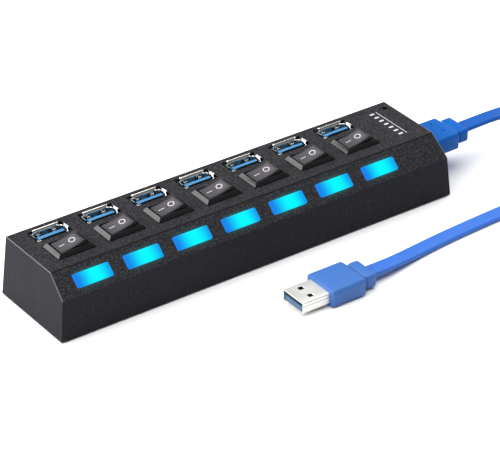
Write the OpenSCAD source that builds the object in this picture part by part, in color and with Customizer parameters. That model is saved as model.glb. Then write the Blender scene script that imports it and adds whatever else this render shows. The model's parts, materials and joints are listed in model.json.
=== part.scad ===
// Seven-port desktop USB hub with a rocker switch and a light bar for each port.
// X runs along the row of ports, -Y is the sloped front, +Z is up.
// The hub stands on z = 0, centred on the origin. The lead leaves the +X end.

/* [Housing] */
// Length of the housing at its base
body_l = 175; // [174:1:220]
// Depth of the housing at its base, front to back
body_w = 40; // [39:0.5:60]
// Height of the top face above the table
body_h = 24; // [23:0.2:32]
// Thickness of the housing's walls
wall = 2.0; // [1.6:0.1:2.4]
// How far each end wall leans in from base to top
end_draft = 2.2; // [0.5:0.1:3]
// How far the front and the back wall lean in from base to top
side_draft = 0.9; // [0.2:0.1:1.5]
// Depth of the sloped face, seen from above
slope_run = 8.5; // [7.5:0.1:10]
// Height of the sloped face
slope_drop = 7.2; // [6.6:0.1:8.6]

/* [Base] */
// Thickness of the bottom cover
cover_t = 2.0; // [1.8:0.1:3]
// Width of the housing's rim round the bottom cover
rim = 1.1; // [0.8:0.1:1.3]
// Diameter of a rubber foot
foot_d = 10; // [8:0.5:11.5]
// How far a rubber foot stands proud of the base
foot_rise = 0.6; // [0.3:0.1:1.2]
// Distance of each screw and foot from the nearer end of the base
screw_inset_x = 7.2; // [6.8:0.1:8]
// Distance of each screw and foot from the nearer long edge of the base
screw_inset_y = 8.2; // [7.5:0.1:10]

/* [Row of ports] */
// Distance from one port to the next
pitch = 21.2; // [17.2:0.1:21.6]
// Distance from the base's left end to the first port's centre
row_start = 16.8; // [16.2:0.1:18]
// Distance from the base's back edge to the ports' centres
port_inset = 6.9; // [6.4:0.1:9]
// Distance from the ports' centres to the switches' centres
switch_offset = 13.2; // [12.6:0.1:14]
// Height of a receptacle from the board to its lips
port_h = 14.2; // [13:0.1:15]

/* [Switch] */
// Length of a switch's bezel
bezel_l = 15.6; // [15:0.1:17]
// Width of a switch's bezel
bezel_w = 10.6; // [10.4:0.1:12]
// Height of the bezel above the top face
bezel_h = 1.7; // [1.2:0.1:2.5]
// Depth of the switch's box below the top face
switch_depth = 10.6; // [9.6:0.1:11]
// Tilt of the rocker either side of level, in degrees
rocker_tilt = 13; // [10:0.5:14]
// Diameter of the rocker's two pins
rocker_pin_d = 1.8; // [1.4:0.1:2]

/* [Light bar] */
// Length of a light window
lens_l = 15.2; // [12:0.1:16]
// Width of a light window down the slope
lens_w = 5.4; // [4:0.1:6]
// Distance from the slope's top edge to the window's middle, down the slope
lens_drop = 6.0; // [5:0.1:6.6]

/* [Lead] */
// Width of the lead's mouldings
mould_w = 16; // [15:0.2:18]
// Thickness of the lead's mouldings
mould_t = 7.2; // [6.6:0.2:8]
// Length of a moulding's thick part
mould_l = 16.4; // [14:0.2:22]
// Length of a moulding's neck
neck_l = 4.8; // [3:0.2:8]
// Width of the flat lead
lead_w = 6.6; // [5:0.1:8]
// Thickness of the flat lead
lead_t = 2.0; // [1.6:0.1:3]

/* [Hidden] */
$fn = 48;
// A sliver of overlap that joins two shapes, and how far a cutting shape runs past what it cuts
eps = 0.01;
past = 10;
port_count = 7;
ports = [1:port_count];

// ---- Housing outline -------------------------------------------------------
base_z = foot_rise;
slope_top_y = -body_w/2 + side_draft + slope_run;
slope_angle = atan2(slope_drop, slope_run);
side_outline = [
    [-body_w/2, base_z],
    [body_w/2, base_z],
    [body_w/2 - side_draft, body_h],
    [slope_top_y, body_h],
    [-body_w/2 + side_draft, body_h - slope_drop]];
front_outline = [
    [-body_l/2, base_z],
    [body_l/2, base_z],
    [body_l/2 - end_draft, body_h],
    [-body_l/2 + end_draft, body_h]];

// The end wall's outer face, at a height above the table
function end_x(z) = body_l/2 - end_draft*(z - base_z)/(body_h - base_z);

// Inward unit normal of an outline's edge, for points listed anticlockwise
function edge_normal(a, b) = let (d = (b - a)/norm(b - a)) [-d.y, d.x];
function inset_corner(a, b, c, t) =
    let (m = edge_normal(a, b), n = edge_normal(b, c)) b + t*(m + n)/(1 + m*n);
function inset(p, t) =
    let (n = len(p)) [for (i = [0:n - 1]) inset_corner(p[(i + n - 1) % n], p[i], p[(i + 1) % n], t)];

// ---- Places ---------------------------------------------------------------
function port_x(i) = -body_l/2 + row_start + (i - 1)*pitch;
port_y = body_w/2 - port_inset;
switch_y = port_y - switch_offset;
screw_x = body_l/2 - screw_inset_x;
screw_y = body_w/2 - screw_inset_y;

// ---- Board -----------------------------------------------------------------
lip_rise = 0.35;
board_top = body_h + lip_rise - port_h;
board_t = 1.6;
board_gap = 0.6;
board_bottom = board_top - board_t;
board_l = 2*(end_x(board_top) - wall - board_gap);
board_w = body_w - 2*(side_draft*0.5 + wall + board_gap);

// ---- Screws, bosses and feet ------------------------------------------------
boss_d = 5;
screw_d = 2.6;
pilot_d = 2.3;
pilot_end = body_h - 7;
screw_end = pilot_end - 0.9;
head_d = 5;
head_h = 1.6;
standoff_d = 7;
screw_play = 0.4;
foot_pocket = 0.8;
cover_play = 0.15;
ledge = 0.5;
head_seat = base_z + foot_pocket + head_h + 0.2;

// ---- Receptacle (standard A type, opening upwards) ---------------------------
port_l = 13.14;
port_w = 5.68;
port_metal = 0.32;
port_corner = 0.4;
core_play = 0.05;
lip_flare = 0.62;
lip_h = 0.95;
long_lip = 10.6;
short_lip = 3.9;
port_play = 0.2;
tongue_l = 11.1;
tongue_t = 1.84;
tongue_gap = 0.65;
tongue_depth = 1.0;
core_base_h = 3.5;
spring_x = 3.25;

// ---- Switch -----------------------------------------------------------------
box_l = 13.6;
box_w = 9.2;
well_l = 12.4;
well_w = 8.2;
box_floor = 1.0;
box_play = 0.1;
bezel_slope = 1.2;
rocker_w = 7.6;
pivot_z = body_h - 0.5;
pin_play = 0.05;
pin_reach = 0.42;

// ---- Light bar ----------------------------------------------------------------
lens_play = 0.08;
lens_proud = 0.2;
lens_corner = 0.7;
flange_over = 1.0;
flange_t = 1.0;
led_d = 3;
led_h = 5.2;

// ---- Power inlet and power light -----------------------------------------------
jack_x = body_l/2 - 16;
jack_l = 9;
jack_h = 10.5;
jack_depth = 12.5;
jack_nose_d = 8;
jack_bore_d = 6.3;
jack_reach = 9.5;
jack_pin_d = 2;
jack_axis_z = board_top + 6.4;
jack_back_y = body_w/2 - wall - side_draft;
jack_play = 0.2;
pipe_x = body_l/2 - 5.3;
pipe_y = body_w/2 - 5.1;
pipe_d = 1.8;
pipe_play = 0.1;
pipe_proud = 0.05;
power_led_h = 0.6;

// ---- Lead -------------------------------------------------------------------------
grip_z = body_h - 10.5;
mould_corner = 1.6;
neck_w = 12.2;
neck_t = 5.6;
neck_corner = 1.2;
shoulder = 1.8;
slot_l = 11.8;
slot_t = 5.2;
slot_play = 0.1;
grip_inner_x = body_l/2 - end_draft - wall - 1;
grip_flange_t = 2.6;
grip_flange_over = 1.5;
flange_l = slot_l + 2*grip_flange_over;
flange_w = slot_t + 2*grip_flange_over;
notch_play = 0.4;
wire_count = 9;
wire_d = 0.9;
wire_pitch = 0.92;
wire_run = 5.2;
wire_tail = 1.4;
plug_y = -49.5;
plug_z = mould_t/2;
plug_front_x = 3.2;
plug_l = 12;
plug_root = 7.5;
plug_w = 12;
plug_t = 4.5;
plug_metal = 0.32;
plug_corner = 0.3;
plug_play = 0.05;
window_x = 5.6;
window_y = 2.85;
window_side = 2.0;
// Each point of the lead's route: x, y, z and the lead's twist in degrees, where 0 lies flat
lead_route = [
    [107.5, 0, 13.5, 0], [114, 0, 13.7, 0], [122, 0, 13.8, 0], [130, 0, 13.4, 4],
    [139, 0, 12.1, 15], [148, -0.4, 9.9, 35], [157, -1, 7.4, 60], [167, -1.7, 5.0, 80],
    [177, -2.5, 3.7, 90], [187, -3.3, 3.4, 90], [197, -6.2, 3.4, 90], [204.2, -13.4, 3.4, 90],
    [206.8, -23, 3.4, 90], [204.2, -32.8, 3.4, 90], [197, -40.2, 3.4, 90], [187, -43, 3.4, 90],
    [176, -43.4, 3.4, 88], [165, -43.3, 3.3, 75], [154, -43, 2.9, 52], [143, -42.7, 2.2, 28],
    [132, -42.5, 1.5, 10], [120, -42.3, 1.1, 0], [106, -42.2, 1.05, 0], [92, -42.5, 1.05, 0],
    [78, -43.2, 1.05, 0], [64, -44.2, 1.1, 0], [51, -45.8, 1.4, 0], [40, -47.8, 2.3, 0],
    [32, -49.1, 3.2, 0], [24.4, -49.5, 3.6, 0]];
lead_steps = 2;
lead_sides = 10;

// ---- Shared shapes -----------------------------------------------------------------
module rounded_rect(l, w, r) {
    square([l - 2*r, w], center = true);
    square([l, w - 2*r], center = true);
    for (x = [-1, 1], y = [-1, 1])
        translate([x*(l/2 - r), y*(w/2 - r)]) circle(r);
}

module plate(l, w, h, r) {
    linear_extrude(h) rounded_rect(l, w, r);
}

module block(l, w, h) {
    translate([-l/2, -w/2, 0]) cube([l, w, h]);
}

module at_screws() {
    for (x = [-1, 1], y = [-1, 1])
        translate([x*screw_x, y*screw_y, 0]) children();
}

module at_ports(y) {
    for (i = ports)
        translate([port_x(i), y, 0]) children();
}

// Puts children on the slope: X along the hub, Y up the slope, Z out of the face
module on_slope(i) {
    translate([port_x(i), slope_top_y, body_h])
        rotate([slope_angle, 0, 0])
            translate([0, -lens_drop, 0])
                children();
}

// The space inside a pair of outlines: a side view along X and a front view along Y
module between_outlines(side, front) {
    intersection() {
        rotate([90, 0, 90])
            linear_extrude(body_l + past, center = true) polygon(side);
        rotate([90, 0, 0])
            linear_extrude(body_w + past, center = true) polygon(front);
    }
}

module housing_outside() {
    between_outlines(side_outline, front_outline);
}

// ---- Housing ----------------------------------------------------------------------
// Hollow of the housing, a pocket that takes the cover, and a way between the two
module housing_inside() {
    between_outlines(inset(side_outline, wall), inset(front_outline, wall));
    translate([0, 0, base_z - 1]) block(body_l - 2*rim, body_w - 2*rim, cover_t + 1);
    translate([0, 0, base_z]) block(body_l - 2*(wall + ledge), body_w - 2*(wall + ledge), wall + cover_t);
}

module screw_bosses() {
    intersection() {
        housing_outside();
        at_screws() translate([0, 0, board_top]) cylinder(h = body_h, d = boss_d);
    }
}

// Openings in the top face, one row for the receptacles and one for the switches
module top_openings() {
    under = body_h - wall - 1;
    at_ports(port_y) translate([0, 0, under])
        block(port_l + 2*(lip_flare + port_play), port_w + 2*(lip_flare + port_play), wall + 2);
    at_ports(switch_y) translate([0, 0, under])
        block(box_l + 2*box_play, box_w + 2*box_play, wall + 2);
    translate([pipe_x, pipe_y, under]) cylinder(h = wall + 2, d = pipe_d + 2*pipe_play);
}

module light_windows() {
    for (i = ports) on_slope(i) translate([0, 0, -wall - flange_t - lens_play])
        plate(lens_l + 2*lens_play, lens_w + 2*lens_play, wall + flange_t + 1, lens_corner);
}

module top_shell() {
    color([0.23, 0.23, 0.23]) difference() {
        union() {
            difference() {
                housing_outside();
                housing_inside();
            }
            screw_bosses();
        }
        at_screws() translate([0, 0, board_top - 1]) cylinder(h = pilot_end - board_top + 1, d = pilot_d);
        top_openings();
        light_windows();
        translate([jack_x, body_w/2 - wall - side_draft - 1, jack_axis_z]) rotate([-90, 0, 0])
            cylinder(h = past, d = jack_nose_d + 2*jack_play);
        translate([grip_inner_x, 0, grip_z]) rotate([90, 0, 90])
            plate(slot_l + 2*slot_play, slot_t + 2*slot_play, past, neck_corner);
    }
}

module bottom_cover() {
    color([0.16, 0.16, 0.17]) difference() {
        union() {
            translate([0, 0, base_z])
                block(body_l - 2*(rim + cover_play), body_w - 2*(rim + cover_play), cover_t);
            at_screws() translate([0, 0, base_z]) cylinder(h = board_bottom - base_z, d = standoff_d);
        }
        at_screws() {
            translate([0, 0, base_z - 1]) cylinder(h = foot_pocket + 1, d = foot_d + 0.2);
            translate([0, 0, base_z]) cylinder(h = head_seat - base_z, d = head_d + screw_play);
            cylinder(h = body_h, d = screw_d + screw_play);
        }
    }
}

module cover_screws() {
    color([0.62, 0.63, 0.65]) at_screws() difference() {
        union() {
            translate([0, 0, head_seat - head_h]) cylinder(h = head_h, d = head_d);
            translate([0, 0, head_seat]) cylinder(h = screw_end - head_seat, d = screw_d);
        }
        for (a = [0, 90]) rotate(a) translate([0, 0, head_seat - head_h - eps]) block(2.8, 0.6, 0.9);
    }
}

module rubber_feet() {
    color([0.10, 0.10, 0.10]) at_screws() cylinder(h = base_z + foot_pocket, d = foot_d);
}

// ---- Electronics ---------------------------------------------------------------------
module main_board() {
    color([0.08, 0.36, 0.20]) difference() {
        translate([0, 0, board_bottom]) block(board_l, board_w, board_t);
        at_screws() cylinder(h = body_h, d = screw_d + screw_play);
        at_ports(switch_y) for (x = [-1, 1])
            translate([x*terminal_x, 0, board_bottom - 1])
                block(terminal_t + 2*terminal_play, terminal_w + 2*terminal_play, board_t + 2);
        translate([grip_inner_x - grip_flange_t - notch_play, -flange_l/2 - notch_play, board_bottom - 1])
            cube([past, flange_l + 2*notch_play, board_t + 2]);
    }
}

module hub_controllers() {
    color([0.13, 0.13, 0.14]) for (i = [3, 6])
        translate([port_x(i), port_y - 6, board_bottom - 0.9]) block(9, 9, 0.9);
}

module crystals() {
    color([0.75, 0.75, 0.77]) for (i = [3, 6])
        translate([port_x(i) - 11, port_y - 6, board_bottom - 2.5]) plate(4.6, 9.6, 2.5, 2.2);
}

module capacitors() {
    color([0.70, 0.71, 0.73]) for (i = ports)
        translate([port_x(i) + pitch/2, switch_y - 8.2, board_top]) union() {
            block(6.4, 6.4, 0.8);
            cylinder(h = 6.8, d = 5.8);
        }
}

module power_regulator() {
    color([0.13, 0.13, 0.14]) translate([jack_x + 2.6, slope_top_y + 0.7, board_top]) union() {
        block(6.5, 3.5, 1.7);
        block(3.0, 6.8, 0.4);
    }
}

module dc_jack() {
    color([0.09, 0.09, 0.10]) translate([jack_x, 0, 0]) difference() {
        union() {
            translate([-jack_l/2, jack_back_y - jack_depth, board_top])
                cube([jack_l, jack_depth, jack_h]);
            translate([0, jack_back_y - 1, jack_axis_z]) rotate([-90, 0, 0])
                cylinder(h = wall + 1.2, d = jack_nose_d);
        }
        translate([0, jack_back_y - jack_reach, jack_axis_z]) rotate([-90, 0, 0])
            cylinder(h = past + jack_reach, d = jack_bore_d);
    }
}

module dc_jack_pin() {
    color([0.80, 0.80, 0.82]) translate([jack_x, jack_back_y - jack_reach, jack_axis_z])
        rotate([-90, 0, 0]) cylinder(h = jack_reach + 1, d = jack_pin_d);
}

led_y = slope_top_y - lens_drop*cos(slope_angle) + (wall + flange_t)*sin(slope_angle);

module led(d, h) {
    cylinder(h = 1, d = d + 0.8);
    cylinder(h = h - d/2, d = d);
    translate([0, 0, h - d/2]) sphere(d = d);
}

module status_leds() {
    color([0.35, 0.65, 1.0]) at_ports(led_y) translate([0, 0, board_top]) led(led_d, led_h);
}

module power_led() {
    color([0.9, 0.3, 0.25]) translate([pipe_x, pipe_y, board_top]) block(1.6, 0.8, power_led_h);
}

// Stands on its light and ends just proud of the top face
module power_light_pipe() {
    color([0.85, 0.88, 0.9]) translate([pipe_x, pipe_y, board_top + power_led_h])
        cylinder(h = body_h + pipe_proud - board_top - power_led_h, d = pipe_d);
}

// ---- Receptacles ------------------------------------------------------------------------
tube_top = body_h + lip_rise - lip_h;
tongue_far = port_w/2 - port_metal - tongue_gap;

// One flared lip that runs along X and leans towards +Y, from the tube's outer face
module lip(l, reach) {
    translate([-l/2, reach, tube_top]) rotate([90, 0, 90])
        linear_extrude(l)
            polygon([[-port_metal, -0.3], [0, -0.3], [0, 0], [lip_flare, lip_h],
                     [lip_flare - port_metal, lip_h], [-port_metal, 0.1]]);
}

// A sprung finger on the +Y wall, bent in towards the tongue
module finger() {
    translate([spring_x, port_w/2, tube_top]) rotate([90, 0, 90])
        linear_extrude(1.6, center = true)
            polygon([[-port_metal, -6.6], [0, -6.6], [0, -5.8], [-0.62, -1.6], [-0.3, -0.8],
                     [-0.55, -0.8], [-0.95, -1.6], [-port_metal, -5.8]]);
}

module port_shell(i) {
    color([0.82, 0.83, 0.85]) translate([port_x(i), port_y, 0]) {
        difference() {
            translate([0, 0, board_top])
                plate(port_l, port_w, tube_top - board_top, port_corner + port_metal);
            translate([0, 0, board_top - 1])
                plate(port_l - 2*port_metal, port_w - 2*port_metal, port_h + 2, port_corner);
            for (x = [-1, 1]) translate([x*spring_x, port_w/2, tube_top - 6.6]) block(2.2, 1.5, 6.2);
        }
        for (s = [0, 180]) rotate(s) lip(long_lip, port_w/2);
        for (s = [90, 270]) rotate(s) lip(short_lip, port_l/2);
        finger();
        mirror([1, 0, 0]) finger();
    }
}

module port_core(i) {
    color([0.30, 0.60, 0.85]) translate([port_x(i), port_y, board_top]) {
        plate(port_l - 2*(port_metal + core_play), port_w - 2*(port_metal + core_play), core_base_h,
              port_corner);
        translate([-tongue_l/2, -tongue_far, core_base_h - eps])
            cube([tongue_l, tongue_t, port_h - tongue_depth - core_base_h + eps]);
    }
}

// Four long contacts and, nearer the mouth, five short ones on each tongue's open face
module port_contacts() {
    top = body_h + lip_rise - tongue_depth;
    color([0.85, 0.68, 0.32]) at_ports(port_y - tongue_far + tongue_t) {
        for (x = [-3.5, -1, 1, 3.5])
            translate([x - 0.5, 0, board_top + core_base_h]) cube([1, 0.2, 5.6]);
        for (x = [-4.4, -2.2, 0, 2.2, 4.4])
            translate([x - 0.35, 0, top - 2.6]) cube([0.7, 0.12, 2.1]);
    }
}

// ---- Switches ---------------------------------------------------------------------------
terminal_x = 3.6;
terminal_w = 3.0;
terminal_t = 0.8;
terminal_play = 0.2;
terminal_past = 1;
box_bottom = body_h - switch_depth;

module bezel_prism(l, w) {
    intersection() {
        rotate([90, 0, 0]) linear_extrude(w, center = true)
            polygon([[-l/2, 0], [l/2, 0], [l/2, 0.35], [l/2 - bezel_slope, bezel_h],
                     [-l/2 + bezel_slope, bezel_h], [-l/2, 0.35]]);
        rotate([90, 0, 90]) linear_extrude(l, center = true)
            polygon([[-w/2, 0], [w/2, 0], [w/2, 0.35], [w/2 - bezel_slope*0.7, bezel_h],
                     [-w/2 + bezel_slope*0.7, bezel_h], [-w/2, 0.35]]);
    }
}

module switch_body(i) {
    color([0.17, 0.17, 0.18]) translate([port_x(i), switch_y, 0]) difference() {
        union() {
            translate([0, 0, body_h]) bezel_prism(bezel_l, bezel_w);
            translate([0, 0, box_bottom]) block(box_l, box_w, switch_depth + eps);
        }
        translate([0, 0, box_bottom + box_floor]) block(well_l, well_w, switch_depth + bezel_h);
        translate([0, 0, pivot_z]) rotate([90, 0, 0])
            cylinder(h = box_w + 1, d = rocker_pin_d + 2*pin_play, center = true);
    }
}

module switch_terminals() {
    color([0.80, 0.78, 0.72]) at_ports(switch_y) for (x = [-1, 1])
        translate([x*terminal_x, 0, board_bottom - terminal_past])
            block(terminal_t, terminal_w, box_bottom - board_bottom + terminal_past);
}

// Side view of the rocker about its pivot, level: a dished top, sloping ends and a foot below
top_half = 4.9;
top_rise = 3.3;
dish = 0.5;
side_half = 5.95;
foot_half = 1.5;
foot_drop = 5.2;
dish_r = (top_half*top_half + dish*dish)/(2*dish);
dish_a = asin(top_half/dish_r);
rocker_outline = concat(
    [[-foot_half, -foot_drop], [foot_half, -foot_drop], [2.6, -2.4], [side_half, -0.4],
     [side_half, 0.3]],
    [for (k = [0:8]) let (a = dish_a*(1 - k/4))
        [dish_r*sin(a), top_rise - dish + dish_r*(1 - cos(a))]],
    [[-side_half, 0.3], [-side_half, -0.4], [-2.6, -2.4]]);

module rocker(i) {
    color([0.43, 0.41, 0.45]) translate([port_x(i), switch_y, pivot_z]) rotate([0, -rocker_tilt, 0]) {
        rotate([90, 0, 0]) linear_extrude(rocker_w, center = true) polygon(rocker_outline);
        rotate([90, 0, 0]) cylinder(h = well_w + 2*pin_reach, d = rocker_pin_d, center = true);
    }
}

// ---- Light bars -------------------------------------------------------------------------
// A window with a flange behind the wall, cut back where it meets a screw boss
module led_lens(i) {
    color([0.15, 0.80, 1.0]) {
        on_slope(i) translate([0, 0, -wall - eps])
            plate(lens_l, lens_w, wall + lens_proud + eps, lens_corner);
        difference() {
            on_slope(i) translate([0, 0, -wall - flange_t])
                block(lens_l + 2*flange_over, lens_w + flange_over, flange_t);
            at_screws() cylinder(h = body_h, d = boss_d + 2*lens_play);
        }
    }
}

// ---- Lead ---------------------------------------------------------------------------------
// A moulding whose thick part runs from x = -back to mould_l, narrows at its shoulders and
// ends in its neck
module moulding(back = 0) {
    intersection() {
        translate([-back, 0, 0]) rotate([90, 0, 90])
            plate(mould_w, mould_t, mould_l + back, mould_corner);
        linear_extrude(mould_t, center = true)
            polygon([[-back, -mould_w/2], [mould_l - shoulder, -mould_w/2], [mould_l, -neck_w/2],
                     [mould_l, neck_w/2], [mould_l - shoulder, mould_w/2], [-back, mould_w/2]]);
    }
    translate([-back, 0, 0]) rotate([90, 0, 90])
        plate(neck_w, neck_t, mould_l + neck_l + back, neck_corner);
}

// The hub's end of the lead: a moulding outside, a waist in the wall and a flange inside
module cable_grip() {
    color([0.16, 0.45, 0.92]) translate([0, 0, grip_z]) {
        difference() {
            translate([end_x(grip_z), 0, 0]) moulding(2);
            translate([0, 0, -grip_z]) housing_outside();
        }
        translate([grip_inner_x - 1, 0, 0]) rotate([90, 0, 90])
            plate(slot_l, slot_t, mould_l, neck_corner);
        translate([grip_inner_x - grip_flange_t, 0, 0]) rotate([90, 0, 90])
            plate(flange_l, flange_w, grip_flange_t, neck_corner);
    }
}

// The lead's wires run from the grip's inner face down to the board and lie on it at their ends
module signal_wires() {
    drop = grip_z - board_top - wire_d/2;
    color([0.75, 0.75, 0.72]) for (k = [0:wire_count - 1])
        translate([grip_inner_x - grip_flange_t, (k - (wire_count - 1)/2)*wire_pitch, grip_z]) {
            rotate([0, -90 - atan2(drop, wire_run), 0])
                cylinder(h = norm([wire_run, drop]), d = wire_d);
            translate([wire_d/4 - wire_run, 0, -drop]) rotate([0, -90, 0])
                cylinder(h = wire_tail, d = wire_d);
        }
}

function catmull(a, b, c, d, t) =
    0.5*(2*b + t*(c - a) + t*t*(2*a - 5*b + 4*c - d) + t*t*t*(3*b - a - 3*c + d));
route_last = len(lead_route) - 1;
function route_point(i) = lead_route[max(0, min(route_last, i))];
lead_path = concat(
    [for (i = [0:route_last - 1], k = [0:lead_steps - 1])
        catmull(route_point(i - 1), route_point(i), route_point(i + 1), route_point(i + 2),
                k/lead_steps)],
    [lead_route[route_last]]);

function place(p) = [p[0], p[1], p[2]];
function heading(i) =
    let (n = len(lead_path) - 1, a = place(lead_path[max(0, i - 1)]), b = place(lead_path[min(n, i + 1)]))
    i == 0 ? [1, 0, 0] : i == n ? [-1, 0, 0] : (b - a)/norm(b - a);

// A ring of the flat lead: two half circles joined by straight sides, turned by the twist
function lead_ring(i) =
    let (p = lead_path[i], t = heading(i), s0 = cross([0, 0, 1], t), s = s0/norm(s0),
         n = cross(t, s), w = cos(p[3])*s + sin(p[3])*n, u = cross(t, w), half = (lead_w - lead_t)/2)
    [for (k = [0:lead_sides - 1]) let (a = 360*(k + 0.5)/lead_sides, r = lead_t/2)
        place(p) + w*(r*sin(a) + half*sign(sin(a))) + u*r*cos(a)];

module cable() {
    rings = len(lead_path);
    m = lead_sides;
    points = [for (i = [0:rings - 1]) each lead_ring(i)];
    sides = [for (i = [0:rings - 2], k = [0:m - 1])
        let (a = i*m + k, b = i*m + (k + 1) % m) each [[a, b, b + m], [a, b + m, a + m]]];
    ends = [[for (k = [0:m - 1]) m - 1 - k], [for (k = [0:m - 1]) (rings - 1)*m + k]];
    color([0.28, 0.50, 0.92]) polyhedron(points, concat(sides, ends));
}

module plug_moulding() {
    color([0.30, 0.53, 0.93]) difference() {
        translate([plug_front_x, plug_y, plug_z]) moulding();
        translate([plug_front_x - 1, plug_y, plug_z]) rotate([90, 0, 90])
            plate(plug_w + 2*plug_play, plug_t + 2*plug_play, plug_root + 1, plug_corner + plug_metal);
    }
}

module plug_shell() {
    color([0.84, 0.85, 0.87]) translate([plug_front_x - plug_l, plug_y, plug_z]) difference() {
        rotate([90, 0, 90]) plate(plug_w, plug_t, plug_l + plug_root, plug_corner + plug_metal);
        translate([-1, 0, 0]) rotate([90, 0, 90])
            plate(plug_w - 2*plug_metal, plug_t - 2*plug_metal, plug_l + plug_root + 2, plug_corner);
        for (y = [-1, 1], z = [-1, 1]) translate([window_x, y*window_y, z*plug_t/2 - 0.5])
            block(window_side, window_side, 1);
    }
}

insulator_t = 1.9;

module plug_insulator() {
    color([0.25, 0.50, 0.90])
        translate([plug_front_x - plug_l + 0.6, plug_y, plug_z - plug_t/2 + plug_metal + insulator_t/2])
            rotate([90, 0, 90])
                plate(plug_w - 2*(plug_metal + plug_play), insulator_t, plug_l + 6, plug_corner);
}

module plug_contacts() {
    top = plug_z - plug_t/2 + plug_metal + insulator_t;
    color([0.86, 0.70, 0.34]) translate([plug_front_x - plug_l, plug_y, top]) {
        for (y = [-3.5, -1, 1, 3.5])
            translate([1.8, y - 0.5, 0]) cube([7, 1, 0.15]);
        for (y = [-4.2, -2.2, 0, 2.2, 4.2])
            translate([10, y - 0.35, 0]) cube([2.4, 0.7, 0.3]);
    }
}

top_shell();
bottom_cover();
cover_screws();
rubber_feet();
main_board();
hub_controllers();
crystals();
capacitors();
power_regulator();
dc_jack();
dc_jack_pin();
status_leds();
power_led();
power_light_pipe();
port_contacts();
switch_terminals();
cable_grip();
signal_wires();
cable();
plug_moulding();
plug_shell();
plug_insulator();
plug_contacts();
for (i = ports) {
    port_shell(i);
    port_core(i);
    switch_body(i);
    rocker(i);
    led_lens(i);
}
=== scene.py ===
import json
import math

import bmesh
import bpy
import numpy as np
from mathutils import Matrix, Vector


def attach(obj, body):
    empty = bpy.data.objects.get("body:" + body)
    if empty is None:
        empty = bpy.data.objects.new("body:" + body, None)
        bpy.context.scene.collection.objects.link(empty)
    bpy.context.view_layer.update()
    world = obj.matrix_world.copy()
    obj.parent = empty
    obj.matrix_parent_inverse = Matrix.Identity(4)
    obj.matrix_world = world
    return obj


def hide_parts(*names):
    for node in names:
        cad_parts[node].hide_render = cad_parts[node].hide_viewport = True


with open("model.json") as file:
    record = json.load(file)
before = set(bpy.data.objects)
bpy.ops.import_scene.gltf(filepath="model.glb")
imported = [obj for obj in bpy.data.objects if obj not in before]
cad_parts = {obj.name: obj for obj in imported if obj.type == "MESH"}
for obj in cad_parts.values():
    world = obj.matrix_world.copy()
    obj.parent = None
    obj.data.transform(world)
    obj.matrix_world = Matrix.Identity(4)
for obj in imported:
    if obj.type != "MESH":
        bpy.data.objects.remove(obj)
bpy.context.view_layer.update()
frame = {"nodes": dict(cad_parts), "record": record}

# ---- Sizes, in millimetres, as in the part's source -----------------------------------------------
MM = 0.001
HUB = "housing"
PORTS = range(1, 8)
# Housing: its ends lean in by the draft between the base and the top, and a slope runs along its front
BODY_L, BODY_H = 175.0, 24.0
BASE_Z, END_DRAFT = 0.6, 2.2
SLOPE_TOP_Y, SLOPE_RUN, SLOPE_DROP = -10.6, 8.5, 7.2
SLOPE_ANGLE = math.atan2(SLOPE_DROP, SLOPE_RUN)
END_LEAN = END_DRAFT / (BODY_H - BASE_Z)
# The row: a port, its switch and its light window at every pitch
PITCH, FIRST_X = 21.2, -70.7
PORT_Y, SWITCH_Y = 13.1, -0.1
# A port: its tube, its lips and the slots of its two sprung fingers
BOARD_TOP, LIP_RISE, LIP_H, LIP_FLARE = 10.15, 0.35, 0.95, 0.62
TUBE_TOP = BODY_H + LIP_RISE - LIP_H
PORT_L, PORT_W, PORT_METAL, PORT_CORNER = 13.14, 5.68, 0.32, 0.72
LONG_LIP, SHORT_LIP = 10.6, 3.9
SPRING_X, SPRING_W, SPRING_SLOT = 3.25, 1.6, 2.2
SPRING_ROOT, SLOT_TOP = TUBE_TOP - 6.6, TUBE_TOP - 0.4
# A rocker, about its pivot
PIVOT_Z, ROCKER_TILT, ROCKER_W = 23.5, 13.0, 7.6
TOP_HALF, TOP_RISE, DISH = 4.9, 3.3, 0.5
# A light window, and how far its middle is down the slope
LENS_L, LENS_W, LENS_DROP = 15.2, 5.4, 6.0
# The grips: face to shoulder, then a waist, a collar and a neck
GRIP_Z, GRIP_INNER_X = 13.5, 82.3
MOULD_W, MOULD_T, MOULD_L, NECK_L = 16.0, 7.2, 16.4, 4.8
MOULD_CORNER, MOULD_SHOULDER = 1.5, 14.4
# The plug and the lead
PLUG_FRONT_X, PLUG_Y, PLUG_Z = 3.2, -49.5, 3.6
LEAD_W, LEAD_T, LEAD_CORNER = 6.6, 2.0, 0.82
LEAD_SPARE = 0.1   # the sheath is this much thinner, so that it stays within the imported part
# Each point of the lead's route: x, y, z and its twist in degrees, where 0 lies flat
LEAD_ROUTE = np.array([
    [107.5, 0, 13.5, 0], [114, 0, 13.7, 0], [122, 0, 13.8, 0], [130, 0, 13.4, 4],
    [139, 0, 12.1, 15], [148, -0.4, 9.9, 35], [157, -1, 7.4, 60], [167, -1.7, 5.0, 80],
    [177, -2.5, 3.7, 90], [187, -3.3, 3.4, 90], [197, -6.2, 3.4, 90], [204.2, -13.4, 3.4, 90],
    [206.8, -23, 3.4, 90], [204.2, -32.8, 3.4, 90], [197, -40.2, 3.4, 90], [187, -43, 3.4, 90],
    [176, -43.4, 3.4, 88], [165, -43.3, 3.3, 75], [154, -43, 2.9, 52], [143, -42.7, 2.2, 28],
    [132, -42.5, 1.5, 10], [120, -42.3, 1.1, 0], [106, -42.2, 1.05, 0], [92, -42.5, 1.05, 0],
    [78, -43.2, 1.05, 0], [64, -44.2, 1.1, 0], [51, -45.8, 1.4, 0], [40, -47.8, 2.3, 0],
    [32, -49.1, 3.2, 0], [24.4, -49.5, 3.6, 0]], float)


def port_x(i):
    return FIRST_X + (i - 1) * PITCH


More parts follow.
